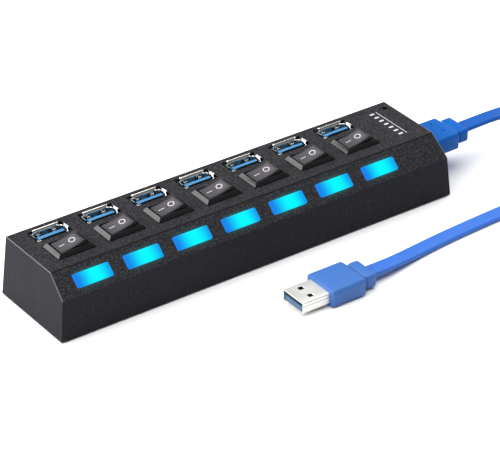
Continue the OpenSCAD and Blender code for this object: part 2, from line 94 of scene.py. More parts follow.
# ---- Camera ---------------------------------------------------------------------------------------
CAMERA_PLACE = (-0.50181, -0.71116, 0.53922)
CAMERA_AZIMUTH, CAMERA_ELEVATION = -35.63, 31.40
CAMERA_LENS, CAMERA_SENSOR = 198.79, 36.0


def add_camera():
    azimuth, elevation = math.radians(CAMERA_AZIMUTH), math.radians(CAMERA_ELEVATION)
    back = Vector((math.sin(azimuth) * math.cos(elevation),
                   -math.cos(azimuth) * math.cos(elevation), math.sin(elevation)))
    data = bpy.data.cameras.new("camera")
    data.sensor_fit, data.sensor_width, data.lens = "HORIZONTAL", CAMERA_SENSOR, CAMERA_LENS
    data.clip_start, data.clip_end = 0.05, 20.0
    camera = bpy.data.objects.new("camera", data)
    bpy.context.scene.collection.objects.link(camera)
    camera.location = CAMERA_PLACE
    camera.rotation_mode = "QUATERNION"
    camera.rotation_quaternion = (-back).to_track_quat("-Z", "Y")
    bpy.context.scene.camera = camera


add_camera()


# ---- Making meshes --------------------------------------------------------------------------------
MERGE_WITHIN, FLAT_WITHIN, SHARP_FROM = 1e-6, 0.4, 35.0   # metres, degrees, degrees


def unit(v):
    """Each vector divided by its length."""
    return v / np.linalg.norm(v, axis=-1, keepdims=True)


def grid_quads(rows, cols, wrap=False, keep=None):
    """Quads between neighbouring points of a grid, row by row; wrap joins the last column to the
    first, and keep says which cells exist."""
    last = cols if wrap else cols - 1
    r, c = np.meshgrid(np.arange(rows - 1), np.arange(last), indexing="ij")
    n = (c + 1) % cols
    quads = np.stack([r * cols + c, r * cols + n, (r + 1) * cols + n, (r + 1) * cols + c], -1)
    return quads[keep] if keep is not None else quads.reshape(-1, 4)


def signed_volume(points, quads):
    """Six times the volume within a closed skin: the sum over its triangles of a . (b x c)."""
    a, b, c, d = (points[quads[:, k]] for k in range(4))
    return float((a * np.cross(b, c)).sum() + (a * np.cross(c, d)).sum())


class Skin:
    """Points and faces gathered from several surfaces, made into one mesh at the end."""

    def __init__(self):
        self.points, self.faces, self.count = [], [], 0

    def add(self, points, faces):
        points = np.asarray(points, float).reshape(-1, 3)
        self.faces += (np.asarray(faces) + self.count).tolist()
        self.points.append(points)
        self.count += len(points)

    def loft(self, rings):
        """A closed skin through rings of equal length, with a fan to the middle of each end ring,
        its faces turned outwards by the sign of its volume."""
        rings = np.asarray(rings, float)
        rows, cols = rings.shape[:2]
        points = np.vstack([rings.reshape(-1, 3), rings[0].mean(0), rings[-1].mean(0)])
        quads = grid_quads(rows, cols, wrap=True)
        k = np.arange(cols)
        n = (k + 1) % cols
        first = np.stack([n, k, np.full(cols, rows * cols)], 1)
        base = (rows - 1) * cols
        last = np.stack([base + k, base + n, np.full(cols, rows * cols + 1)], 1)
        tris = np.vstack([first, last])
        volume = signed_volume(points, np.vstack([quads, np.column_stack([tris, tris[:, 2]])]))
        if volume < 0:
            quads, tris = quads[:, ::-1], tris[:, ::-1]
        start = self.count
        self.add(points, quads)
        self.faces += (tris + start).tolist()

    def make(self, name, material, smooth_angle=SHARP_FROM):
        mesh = bpy.data.meshes.new(name)
        mesh.from_pydata((np.vstack(self.points) * MM).tolist(), [], self.faces)
        mesh.update()
        return finish_piece(bpy.data.objects.new(name, mesh), material, smooth_angle)


def finish_piece(piece, material, smooth_angle=SHARP_FROM):
    """Smooth shading up to an angle, one material, and a place in the scene."""
    piece.data.shade_smooth()
    piece.data.set_sharp_from_angle(angle=math.radians(smooth_angle))
    piece.data.materials.clear()
    piece.data.materials.append(material)
    bpy.context.scene.collection.objects.link(piece)
    return piece


def rounded_outline(width, height, radius, steps=6):
    """Outlines of rectangles with quarter-circle corners: each corner's centre, plus the radius
    times (cos, sin) through its quarter turn. Width, height and radius may be arrays."""
    width, height, radius = (np.atleast_1d(np.asarray(v, float))[:, None, None]
                             for v in np.broadcast_arrays(width, height, radius))
    turn = np.arange(4)[:, None] * np.pi / 2 + np.linspace(0, np.pi / 2, steps + 1)
    sign = np.array([[1, 1], [-1, 1], [-1, -1], [1, -1]], float)
    x = sign[None, :, None, 0] * (width - 2 * radius)[..., None] / 2
    y = sign[None, :, None, 1] * (height - 2 * radius)[..., None] / 2
    x = x + radius[..., None] * np.cos(turn)
    y = y + radius[..., None] * np.sin(turn)
    return np.stack([x, y], -1).reshape(len(width), -1, 2)


def softened(corners, cut, steps=5):
    """A closed polygon with each corner replaced by a parabola: (1-t)^2 A + 2t(1-t) C + t^2 B,
    where C is the corner and A and B lie the cut distance from it on its two edges."""
    most = 0.45   # of an edge, for one corner's cut
    c = np.asarray(corners, float)
    before, after = np.roll(c, 1, 0) - c, np.roll(c, -1, 0) - c
    cut = np.asarray(cut, float)[:, None]
    a = c + unit(before) * np.minimum(cut, most * np.linalg.norm(before, axis=1, keepdims=True))
    b = c + unit(after) * np.minimum(cut, most * np.linalg.norm(after, axis=1, keepdims=True))
    t = np.linspace(0, 1, steps)[None, :, None]
    curve = (1 - t) ** 2 * a[:, None] + 2 * t * (1 - t) * c[:, None] + t * t * b[:, None]
    return curve.reshape(-1, 2)


def outline_normals(p):
    """Outward unit normals of a closed anticlockwise outline: its tangent turned a quarter back."""
    tangent = unit(np.roll(p, -1, 0) - np.roll(p, 1, 0))
    return np.stack([tangent[:, 1], -tangent[:, 0]], -1)


def smooth_step(t):
    """t^2 (3 - 2t), with t held between 0 and 1: a rise that starts and ends level."""
    t = np.clip(t, 0, 1)
    return t * t * (3 - 2 * t)


def bevelled_copy(node, name, material, width, segments=2):
    """A merged copy of a CAD node's mesh with its flat faces joined and its edges rounded."""
    mesh = frame["nodes"][node].data.copy()
    mesh.name = name
    work = bmesh.new()
    work.from_mesh(mesh)
    bmesh.ops.remove_doubles(work, verts=work.verts, dist=MERGE_WITHIN)
    bmesh.ops.dissolve_limit(work, angle_limit=math.radians(FLAT_WITHIN), verts=work.verts,
                             edges=work.edges)
    work.to_mesh(mesh)
    work.free()
    piece = finish_piece(bpy.data.objects.new(name, mesh), material)
    bevel = piece.modifiers.new("edges", "BEVEL")
    bevel.width, bevel.segments = width * MM, segments
    bevel.limit_method, bevel.angle_limit = "ANGLE", math.radians(SHARP_FROM)
    bevel.harden_normals = True
    return piece


def thicken(piece, thickness, offset):
    """Gives a sheet its wall: inwards at an offset of -1, both ways at 0."""
    solid = piece.modifiers.new("thickness", "SOLIDIFY")
    solid.thickness, solid.offset = thickness * MM, offset
    return piece


def settle(piece, slot, *nodes, body=HUB):
    """The piece rides on its body and stands for its nodes; its slot argument is not used."""
    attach(piece, body)
    if nodes:
        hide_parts(*nodes)
    return piece


# ---- Material nodes -------------------------------------------------------------------------------
def put(tree, kind, inputs=None, **settings):
    """Adds a node, sets its settings, then links or fills its inputs."""
    made = tree.nodes.new(kind)
    for key, value in settings.items():
        setattr(made, key, value)
    for key, value in (inputs or {}).items():
        if isinstance(value, bpy.types.NodeSocket):
            tree.links.new(value, made.inputs[key])
        else:
            made.inputs[key].default_value = value
    return made


def maths(tree, operation, a, b=0.0, c=None):
    inputs = {0: a, 1: b}
    if c is not None:
        inputs[2] = c
    return put(tree, "ShaderNodeMath", inputs, operation=operation).outputs[0]


def times(tree, a, b):
    return maths(tree, "MULTIPLY", a, b)


def minus(tree, a, b):
    return maths(tree, "SUBTRACT", a, b)


def size_of(tree, a):
    """A value without its sign."""
    return maths(tree, "ABSOLUTE", a)


def ramp(tree, value, low, high):
    """0 below low and 1 above high, with a smooth rise between them."""
    return put(tree, "ShaderNodeMapRange", {"Value": value, "From Min": low, "From Max": high},
               interpolation_type="SMOOTHSTEP").outputs["Result"]


def blend_colours(tree, factor, a, b):
    mixer = put(tree, "ShaderNodeMix", {0: factor}, data_type="RGBA")
    for socket, value in ((mixer.inputs[6], a), (mixer.inputs[7], b)):
        if isinstance(value, bpy.types.NodeSocket):
            tree.links.new(value, socket)
        else:
            socket.default_value = value
    return mixer.outputs[2]


def in_millimetres(tree, place, axes="XYZ"):
    """A place's coordinates along the axes named, times a thousand."""
    xyz = put(tree, "ShaderNodeSeparateXYZ", {0: place}).outputs
    return [times(tree, xyz[axis], 1 / MM) for axis in axes]


def new_group(name, inputs, outputs):
    """A node group with named sockets; inputs are (name, kind, default)."""
    group = bpy.data.node_groups.new(name, "ShaderNodeTree")
    kinds = {"value": "NodeSocketFloat", "colour": "NodeSocketColor", "vector": "NodeSocketVector"}
    for label, kind, default in inputs:
        socket = group.interface.new_socket(label, in_out="INPUT", socket_type=kinds[kind])
        if default is not None:
            socket.default_value = default
    for label, kind in outputs:
        group.interface.new_socket(label, in_out="OUTPUT", socket_type=kinds[kind])
    return group, group.nodes.new("NodeGroupInput").outputs, group.nodes.new("NodeGroupOutput").inputs


def give_out(group, out, **values):
    """Links each value to the group's output of that name."""
    for label, value in values.items():
        group.links.new(value, out[label])
    return group


def grain_group():
    """Moulded plastic: fine spark-eroded grain, soft handling smudges and their roughness."""
    group, given, out = new_group(
        "moulded_grain",
        [("Place", "vector", None), ("Colour", "colour", (0.05, 0.05, 0.05, 1)),
         ("Fleck", "colour", (0.1, 0.1, 0.1, 1)), ("Grain size mm", "value", 0.4),
         ("Fleck amount", "value", 0.5), ("Roughness", "value", 0.5), ("Smudge", "value", 0.08)],
        [("Colour", "colour"), ("Roughness", "value"), ("Height", "value")])
    fleck_from, fleck_full, cell_share, smudges_per_metre = 0.42, 0.68, 0.5, 45.0
    scale = maths(group, "DIVIDE", 1000.0, given["Grain size mm"])
    grain = put(group, "ShaderNodeTexNoise", {"Vector": given["Place"], "Scale": scale, "Detail": 2.0,
                                              "Roughness": 0.6}).outputs["Fac"]
    cells = put(group, "ShaderNodeTexVoronoi", {"Vector": given["Place"], "Scale": scale})
    smudge = put(group, "ShaderNodeTexNoise", {"Vector": given["Place"], "Scale": smudges_per_metre,
                                               "Detail": 3.0, "Distortion": 0.8}).outputs["Fac"]
    fleck = times(group, ramp(group, grain, fleck_from, fleck_full), given["Fleck amount"])
    height = maths(group, "MULTIPLY_ADD", cells.outputs["Distance"], cell_share, grain)
    smudge = minus(group, smudge, 0.5)
    rough = maths(group, "MULTIPLY_ADD", smudge, given["Smudge"], given["Roughness"])
    flecked = blend_colours(group, fleck, given["Colour"], given["Fleck"])
    return give_out(group, out, Colour=flecked, Roughness=rough, Height=height)


def metal_group():
    """Rolled and plated sheet: long faint streaks and a cloudy plating."""
    group, given, out = new_group(
        "plated_sheet",
        [("Place", "vector", None), ("Colour", "colour", (0.8, 0.8, 0.8, 1)),
         ("Dull", "colour", (0.6, 0.6, 0.6, 1)), ("Roughness", "value", 0.2),
         ("Streak", "value", 0.15)],
        [("Colour", "colour"), ("Roughness", "value"), ("Height", "value")])
    streaks_per_metre, clouds_per_metre = (150.0, 150.0, 2600.0), 260.0
    cloud_from, cloud_full = 0.35, 0.75
    stretched = put(group, "ShaderNodeMapping", {"Vector": given["Place"], "Scale": streaks_per_metre})
    streak = put(group, "ShaderNodeTexNoise", {"Vector": stretched.outputs[0], "Scale": 1.0,
                                               "Detail": 3.0}).outputs["Fac"]
    cloud = put(group, "ShaderNodeTexNoise", {"Vector": given["Place"], "Scale": clouds_per_metre,
                                              "Detail": 2.0}).outputs["Fac"]
    rough = maths(group, "MULTIPLY_ADD", streak, given["Streak"], given["Roughness"])
    cloudy = ramp(group, cloud, cloud_from, cloud_full)
    dulled = blend_colours(group, cloudy, given["Colour"], given["Dull"])
    return give_out(group, out, Colour=dulled, Roughness=rough, Height=streak)


def row_group():
    """Place along the row of ports, in millimetres: the distance from the nearest port's middle, its
    signed offset, the distance down the slope from a light window's middle, and the distance from
    the window. The offset is x modulo the pitch, with x held to the row; the way down the slope is
    how far the place is in front of and below its top edge, each times its share of the slope."""
    group, given, out = new_group(
        "row_of_windows", [("Place", "vector", None)],
        [("Along", "value"), ("Side", "value"), ("Down", "value"), ("Away", "value")])
    hair = 0.001
    x, y, z = in_millimetres(group, given["Place"])
    shifted = minus(group, x, FIRST_X - PITCH / 2)
    within = maths(group, "MINIMUM", maths(group, "MAXIMUM", shifted, hair), PITCH * len(PORTS) - hair)
    local = minus(group, maths(group, "FLOORED_MODULO", within, PITCH), PITCH / 2)
    outside = size_of(group, minus(group, shifted, within))
    along = maths(group, "ADD", size_of(group, local), outside)
    fall_y, fall_z = (times(group, minus(group, edge, value), share)
                      for value, edge, share in ((y, SLOPE_TOP_Y, math.cos(SLOPE_ANGLE)),
                                                 (z, BODY_H, math.sin(SLOPE_ANGLE))))
    fall = maths(group, "ADD", fall_y, fall_z)
    down = size_of(group, minus(group, fall, LENS_DROP))
    dx = maths(group, "MAXIMUM", minus(group, along, LENS_L / 2), 0.0)
    dy = maths(group, "MAXIMUM", minus(group, down, LENS_W / 2), 0.0)
    away = maths(group, "SQRT", maths(group, "ADD", times(group, dx, dx), times(group, dy, dy)))
    return give_out(group, out, Along=along, Side=local, Down=down, Away=away)


def painted_edge_group():
    """Masks on the housing for a painted highlight along its rim, where an end wall meets the top or
    the slope, and for painted shade in the crease between top and slope. Each face's depth is the
    distance below its plane; a rim is where two depths are small, and the lid is where the top's or
    the slope's is."""
    group, given, out = new_group(
        "painted_rim_and_crease", [("Place", "vector", None), ("Width mm", "value", 0.34)],
        [("Amount", "value"), ("Lid", "value"), ("Crease", "value")])
    x, y, z = in_millimetres(group, given["Place"])
    rise = minus(group, z, BASE_Z)
    wall = minus(group, BODY_L / 2, maths(group, "MULTIPLY_ADD", rise, END_LEAN, size_of(group, x)))
    top = minus(group, BODY_H, z)
    slope = maths(group, "MULTIPLY_ADD", minus(group, y, SLOPE_TOP_Y), math.sin(SLOPE_ANGLE),
                  times(group, top, math.cos(SLOPE_ANGLE)))
    upper = maths(group, "MINIMUM", top, slope)
    wide = given["Width mm"]
    lid_from, lid_full, crease_from, crease_full = 0.3, 0.1, 0.4, 0.1
    # The rim where its highlight is painted, and the crease where its shade is painted
    amount = times(group, ramp(group, wall, wide, 0.0), ramp(group, upper, wide, 0.0))
    crease = times(group, ramp(group, top, crease_from, crease_full),
                   ramp(group, slope, crease_from, crease_full))
    lid = ramp(group, upper, lid_from, lid_full)
    return give_out(group, out, Amount=amount, Lid=lid, Crease=crease)


GRAIN, PLATE, ROW, PAINTED_EDGES = grain_group(), metal_group(), row_group(), painted_edge_group()


def start_material(name):
    """A material with a Principled shader and Object coordinates."""
    material = bpy.data.materials.new(name)
    material.use_nodes = True
    tree = material.node_tree
    tree.nodes.clear()
    shader = put(tree, "ShaderNodeBsdfPrincipled")
    put(tree, "ShaderNodeOutputMaterial", {"Surface": shader.outputs[0]})
    place = put(tree, "ShaderNodeTexCoord").outputs["Object"]
    return material, tree, shader, place


def wire_up(tree, shader, made, bump, distance_mm):
    """A group's colour, roughness and height into the shader, the height through a bump."""
    tree.links.new(made.outputs["Colour"], shader.inputs["Base Color"])
    tree.links.new(made.outputs["Roughness"], shader.inputs["Roughness"])
    lifted = put(tree, "ShaderNodeBump", {"Strength": bump, "Distance": distance_mm * MM,
                                          "Height": made.outputs["Height"]})
    tree.links.new(lifted.outputs[0], shader.inputs["Normal"])


GRAIN_DEPTH, PLATE_DEPTH = 0.12, 0.01   # share of the grain's size, and millimetres


def plastic(name, colour, fleck, grain=0.4, amount=0.5, rough=0.5, smudge=0.08, bump=0.25,
            specular=0.5):
    """Moulded plastic from the grain group, with its own values."""
    material, tree, shader, place = start_material(name)
    made = put(tree, "ShaderNodeGroup", {"Place": place}, node_tree=GRAIN)
    for key, value in (("Colour", (*colour, 1)), ("Fleck", (*fleck, 1)), ("Grain size mm", grain),
                       ("Fleck amount", amount), ("Roughness", rough), ("Smudge", smudge)):
        made.inputs[key].default_value = value
    wire_up(tree, shader, made, bump, grain * GRAIN_DEPTH)
    shader.inputs["Specular IOR Level"].default_value = specular
    return material


def metal(name, colour, dull_and_shade, rough=0.2, streak=0.15, bump=0.08):
    """Plated sheet from the metal group, with its own values."""
    material, tree, shader, place = start_material(name)
    made = put(tree, "ShaderNodeGroup", {"Place": place}, node_tree=PLATE)
    for key, value in (("Colour", (*colour, 1)), ("Dull", (*dull_and_shade, 1)), ("Roughness", rough),
                       ("Streak", streak)):
        made.inputs[key].default_value = value
    wire_up(tree, shader, made, bump, PLATE_DEPTH)
    shader.inputs["Metallic"].default_value = 1.0
    return material


def paint(tree, shader, colour):
    tree.links.new(colour, shader.inputs["Base Color"])


def reopened(material):
    """A made material's tree and shader, its colour so far and its Object coordinates."""
    tree = material.node_tree
    shader = tree.nodes["Principled BSDF"]
    colour = shader.inputs["Base Color"].links[0].from_socket
    return tree, shader, colour, tree.nodes["Texture Coordinate"].outputs["Object"]


def housing_material():
    """Black grained plastic with a speckled lid, a painted highlight along its rim and painted shade
    in its crease, that catches the windows' teal light round each of them: the light falls off as
    the exponential of the distance away."""
    material = plastic("housing_black", (0.0058, 0.0053, 0.009), (0.0255, 0.024, 0.0325), grain=0.42,
                       amount=0.6, rough=0.55, bump=0.6, specular=0.12)
    tree, shader, black, place = reopened(material)
    row = put(tree, "ShaderNodeGroup", {"Place": place}, node_tree=ROW).outputs
    edge_masks = put(tree, "ShaderNodeGroup", {"Place": place}, node_tree=PAINTED_EDGES).outputs
    speckle = put(tree, "ShaderNodeTexNoise", {"Vector": place, "Scale": 1600.0, "Detail": 2.0,
                                               "Roughness": 0.7}).outputs["Fac"]
    speckle_from, speckle_full = 0.46, 0.66
    speckle = times(tree, ramp(tree, speckle, speckle_from, speckle_full), edge_masks["Lid"])
    lid = blend_colours(tree, speckle, black, (0.039, 0.038, 0.035, 1))
    # Painted shade along the crease between top and slope, then a painted highlight along the rim
    crease_shaded = blend_colours(tree, edge_masks["Crease"], lid, (0.005, 0.005, 0.006, 1))
    rim_highlighted = blend_colours(tree, edge_masks["Amount"], crease_shaded, (0.17, 0.17, 0.165, 1))
    paint(tree, shader, rim_highlighted)
    y, z = in_millimetres(tree, place, "YZ")
    falls_off = -1.5   # per millimetre
    glow = maths(tree, "EXPONENT", times(tree, row["Away"], falls_off))
    # It stays on the slope and dies out between two windows
    for value, dark, lit in ((z, 14.5, 16.5), (row["Along"], 9.6, 2.0), (y, -8.5, -11.5)):
        glow = times(tree, glow, ramp(tree, value, dark, lit))
    tint = blend_colours(tree, glow, (0, 0, 0, 1), (0.0, 0.085, 0.10, 1))
    tree.links.new(tint, shader.inputs["Emission Color"])
    shader.inputs["Emission Strength"].default_value = 1.0
    return material


def window_material():
    """A lit window: cyan over its light, which sits a little towards +X, falling to blue at the ends
    and a paler rim."""
    material, tree, shader, place = start_material("window_glow")
    light_x, waver, all_cyan, all_blue = 1.0, 0.8, 0.6, 8.0
    rim_from, rim_full, rim_amount = 2.4, 2.75, 0.3
    row = put(tree, "ShaderNodeGroup", {"Place": place}, node_tree=ROW).outputs
    spread = put(tree, "ShaderNodeTexNoise", {"Vector": place, "Scale": 160.0, "Detail": 1.0})
    from_light = size_of(tree, minus(tree, row["Side"], light_x))
    along = maths(tree, "MULTIPLY_ADD", minus(tree, spread.outputs["Fac"], 0.5), waver, from_light)
    ends = ramp(tree, along, all_cyan, all_blue)
    colour = blend_colours(tree, ends, (0.0, 0.93, 0.95, 1), (0.006, 0.20, 0.79, 1))
    rim = times(tree, ramp(tree, row["Down"], rim_from, rim_full), rim_amount)
    colour = blend_colours(tree, rim, colour, (0.03, 0.30, 0.6, 1))
    tree.links.new(colour, shader.inputs["Emission Color"])
    shader.inputs["Base Color"].default_value = (0.0, 0.02, 0.04, 1)
    shader.inputs["Emission Strength"].default_value = 1.0
    shader.inputs["Roughness"].default_value = 0.3
    shader.inputs["Specular IOR Level"].default_value = 0.08
    return material


def socket_material():
    """Plated socket steel with painted shade on its lips: a band between the tube's top and the far
    lip's edge, all of the near lip, painted as a reflection of the blue tongue beside it, and both
    short lips."""
    material = metal("socket_steel", (0.80, 0.79, 0.76), (0.70, 0.69, 0.66), rough=0.12, streak=0.12)
    tree, shader, colour, place = reopened(material)
    side = put(tree, "ShaderNodeGroup", {"Place": place}, node_tree=ROW).outputs["Side"]
    y, z = in_millimetres(tree, place, "YZ")
    y = minus(tree, y, PORT_Y)
    end, half, lip_edge = PORT_L / 2, PORT_W / 2, TUBE_TOP + LIP_H
    on_lips = ramp(tree, z, TUBE_TOP - 0.15, TUBE_TOP + 0.15)
    band = times(tree, on_lips, ramp(tree, z, lip_edge - 0.1, lip_edge - 0.25))
    # Painted shade on each lip; on the near lip it is a painted reflection of the blue tongue
    for value, tube, lip, share, dull_and_shade in (
            (y, half - 0.15, half + 0.05, band, (0.06, 0.065, 0.07, 1)),
            (y, -half + 0.2, -half - 0.05, on_lips, (0.025, 0.075, 0.13, 1)),
            (side, -end + 0.2, -end - 0.05, on_lips, (0.12, 0.15, 0.16, 1)),
            (side, end - 0.2, end + 0.05, on_lips, (0.34, 0.34, 0.33, 1))):
        amount = times(tree, ramp(tree, value, tube, lip), share)
        colour = blend_colours(tree, amount, colour, dull_and_shade)
    paint(tree, shader, colour)
    return material


def plug_material():
    """Satin plug steel with a thin dark line along both of its narrow sides."""
    material = metal("plug_steel", (0.80, 0.79, 0.75), (0.75, 0.74, 0.70), rough=0.36)
    tree, shader, bright, place = reopened(material)
    line_z, line_half, line_edge, side_from, side_full = PLUG_Z + 0.7, 0.08, 0.14, 5.9, 5.98
    y, z = in_millimetres(tree, place, "YZ")
    off = size_of(tree, minus(tree, y, PLUG_Y))
    up = size_of(tree, minus(tree, z, line_z))
    side_line = times(tree, ramp(tree, off, side_from, side_full),
                 ramp(tree, up, line_edge, line_half))
    colour = blend_colours(tree, side_line, bright, (0.09, 0.085, 0.08, 1))
    paint(tree, shader, colour)
    return material


def rocker_material():
    """Black rocker whose dished top is painted paler as a painted sheen; its own "top" attribute says
    where.
    """
    material = plastic("rocker_grey", (0.005, 0.005, 0.006), (0.012, 0.012, 0.014), grain=0.3,
                       amount=0.6, rough=0.34, bump=0.3, specular=0.4)
    tree, shader, black, _ = reopened(material)
    top = put(tree, "ShaderNodeAttribute", attribute_name="top").outputs["Fac"]
    # Painted sheen: the dished top is paler than the black body
    colour = blend_colours(tree, top, black, (0.044, 0.040, 0.048, 1))
    paint(tree, shader, colour)
    return material


def board_material():
    """Green solder mask over a faint weave of copper tracks."""
    material, tree, shader, place = start_material("board_green")
    tracks = put(tree, "ShaderNodeTexBrick", {"Vector": place, "Scale": 260.0,
                                              "Color1": (0.010, 0.11, 0.045, 1),
                                              "Color2": (0.012, 0.13, 0.055, 1),
                                              "Mortar": (0.03, 0.22, 0.09, 1), "Mortar Size": 0.03})
    weave = put(tree, "ShaderNodeTexNoise", {"Vector": place, "Scale": 900.0}).outputs["Fac"]
    tree.links.new(tracks.outputs["Color"], shader.inputs["Base Color"])
    least_rough, rougher = 0.2, 0.2
    tree.links.new(maths(tree, "MULTIPLY_ADD", weave, rougher, least_rough), shader.inputs["Roughness"])
    lifted = put(tree, "ShaderNodeBump", {"Strength": 0.3, "Distance": 0.03 * MM,
                                          "Height": tracks.outputs["Fac"]})
    tree.links.new(lifted.outputs[0], shader.inputs["Normal"])
    return material


def clear_material(name, colour, rough, transmission, specular=0.5):
    """A light guide, a little hazy, clear when it lets light through: its colour falls by a fifth in
    the haze.
    """
    material, tree, shader, place = start_material(name)
    haze = put(tree, "ShaderNodeTexNoise", {"Vector": place, "Scale": 700.0}).outputs["Fac"]
    hazy = (*(0.8 * c for c in colour), 1)
    tree.links.new(blend_colours(tree, haze, (*colour, 1), hazy), shader.inputs["Base Color"])
    hazy_rough = maths(tree, "MULTIPLY_ADD", haze, 0.1, rough)
    tree.links.new(hazy_rough, shader.inputs["Roughness"])
    shader.inputs["Transmission Weight"].default_value = transmission
    shader.inputs["Specular IOR Level"].default_value = specular
    return material


def lead_material():
    """Soft blue sheath: a fine drawn grain along the lead, from its own map, and painted shade, a
    deeper blue, in its first part."""
    material = plastic("lead_blue", (0.031, 0.126, 0.47), (0.041, 0.153, 0.525), grain=0.5, amount=0.4,
                       rough=0.45, bump=0.12, specular=0.2)
    tree, shader, blue, _ = reopened(material)
    shade_until, blue_from = 0.03, 0.13   # metres along the lead
    along = put(tree, "ShaderNodeUVMap", uv_map="sheath").outputs[0]
    far = put(tree, "ShaderNodeSeparateXYZ", {0: along}).outputs["Y"]
    # Painted shade: a deeper blue over the lead's first part, towards the hub
    hub_end_shade = blend_colours(tree, ramp(tree, far, shade_until, blue_from), (0.001, 0.07, 0.33, 1), blue)
    paint(tree, shader, hub_end_shade)
    drawn = put(tree, "ShaderNodeMapping", {"Vector": along, "Scale": (2.0, 0.08, 1.0)})
    tree.links.new(drawn.outputs[0], tree.nodes["Group"].inputs["Place"])
    return material


# Each plain plastic's colour and fleck, then its other values, and each plain metal's two colours
PLASTICS = {
    "cover_black": ((0.010, 0.010, 0.011), (0.028, 0.028, 0.028), dict(rough=0.6, specular=0.2)),
    "switch_black": ((0.006, 0.006, 0.007), (0.014, 0.014, 0.016),
                     dict(grain=0.5, amount=0.4, rough=0.3, bump=0.12, specular=0.31)),
    "jack_black": ((0.02, 0.02, 0.022), (0.04, 0.04, 0.04), dict(rough=0.3, bump=0.1)),
    "chip_black": ((0.02, 0.02, 0.022), (0.05, 0.05, 0.05), dict(grain=0.15, rough=0.55)),
    "foot_rubber": ((0.018, 0.018, 0.018), (0.035, 0.035, 0.035),
                    dict(grain=0.25, rough=0.8, bump=0.6, specular=0.3)),
    "wire_cover": ((0.55, 0.55, 0.52), (0.6, 0.6, 0.58), dict(grain=0.3, rough=0.4)),
    "moulding_blue": ((0.001, 0.082, 0.345), (0.002, 0.112, 0.435),
                      dict(grain=0.45, amount=0.45, rough=0.42, bump=0.22, specular=0.12)),
    # plug_blue is a lighter copy of moulding_blue, the same plastic: painted light on the plug's grip
    "plug_blue": ((0.034, 0.116, 0.36), (0.048, 0.146, 0.42),
                  dict(grain=0.45, amount=0.45, rough=0.4, bump=0.18, specular=0.25)),
    # insulator_blue is a darker copy of tongue_blue: painted shade inside the plug
    "insulator_blue": ((0.03, 0.09, 0.17), (0.04, 0.11, 0.2), dict(grain=0.3, rough=0.4, bump=0.06)),
    "tongue_blue": ((0.035, 0.17, 0.36), (0.06, 0.22, 0.42),
                    dict(grain=0.3, amount=0.4, rough=0.3, bump=0.06)),
    "mark_white": ((0.50, 0.48, 0.51), (0.36, 0.34, 0.37),
                   dict(grain=0.12, amount=0.6, rough=0.45, bump=0.2)),
}
METALS = {
    "screw_steel": ((0.5, 0.51, 0.53), (0.4, 0.41, 0.43), dict(rough=0.3)),
    "tin_can": ((0.66, 0.66, 0.68), (0.55, 0.55, 0.58), dict(rough=0.3)),
    "capacitor_can": ((0.74, 0.74, 0.76), (0.66, 0.66, 0.68), dict(rough=0.25)),
    "contact_tin": ((0.7, 0.68, 0.62), (0.6, 0.58, 0.53), dict(rough=0.28)),
    "contact_gold": ((0.86, 0.64, 0.24), (0.78, 0.55, 0.2), dict(rough=0.18)),
}
LOOKS = {name: make(name, first, second, **values)
         for make, table in ((plastic, PLASTICS), (metal, METALS))
         for name, (first, second, values) in table.items()}
LOOKS.update({
    "housing_black": housing_material(), "window_glow": window_material(),
    "socket_steel": socket_material(), "plug_steel": plug_material(),
    "rocker_grey": rocker_material(), "lead_blue": lead_material(), "board_green": board_material(),
    "led_clear": clear_material("led_clear", (0.75, 0.88, 1.0), 0.08, 0.85),
    # The light pipe is painted near black, with no shine and no transmission: painted shade in its hole
    "pipe_clear": clear_material("pipe_clear", (0.002, 0.002, 0.002), 0.6, 0.0, 0.0),
})

# Each CAD node that stays gets its slot's look
for row in frame["record"]["subparts"]:
    for slot in frame["nodes"][row["node"]].material_slots:
        slot.material = LOOKS[row["material_slot"]]
# Painted shade: the plug's insulator takes a darker copy of its slot's blue
frame["nodes"]["plug_insulator"].material_slots[0].material = LOOKS["insulator_blue"]


# ---- The lead -------------------------------------------------------------------------------------
def smooth_route(points, steps):
    """A Catmull-Rom curve: between two points a cubic whose slope at each is half the step from its
    neighbour before to its neighbour after."""
    p = np.vstack([points[:1], points, points[-1:]])
    n = len(points) - 1
    a, b, c, d = (p[k:k + n, None, :] for k in range(4))
    t = (np.arange(steps) / steps)[None, :, None]
    curve = 0.5 * (2 * b + t * (c - a) + t * t * (2 * a - 5 * b + 4 * c - d)
                   + t ** 3 * (3 * b - a - 3 * c + d))
    return np.vstack([curve.reshape(-1, points.shape[1]), points[-1:]])


def flat_sections(path, twist):
    """The lead's outlines: at each point of the path a flat rounded rectangle, across the heading and
    turned about it by the twist."""
    heading = np.gradient(path, axis=0)
    heading[0], heading[-1] = (1, 0, 0), (-1, 0, 0)
    heading = unit(heading)
    side = unit(np.cross([0.0, 0.0, 1.0], heading))
    up = np.cross(heading, side)
    turn = np.radians(twist)[:, None]
    across = np.cos(turn) * side + np.sin(turn) * up
    through = np.cross(heading, across)
    outline = rounded_outline(LEAD_W, LEAD_T - LEAD_SPARE, LEAD_CORNER, 4)[0]
    return (path[:, None] + across[:, None] * outline[None, :, :1]
            + through[:, None] * outline[None, :, 1:])


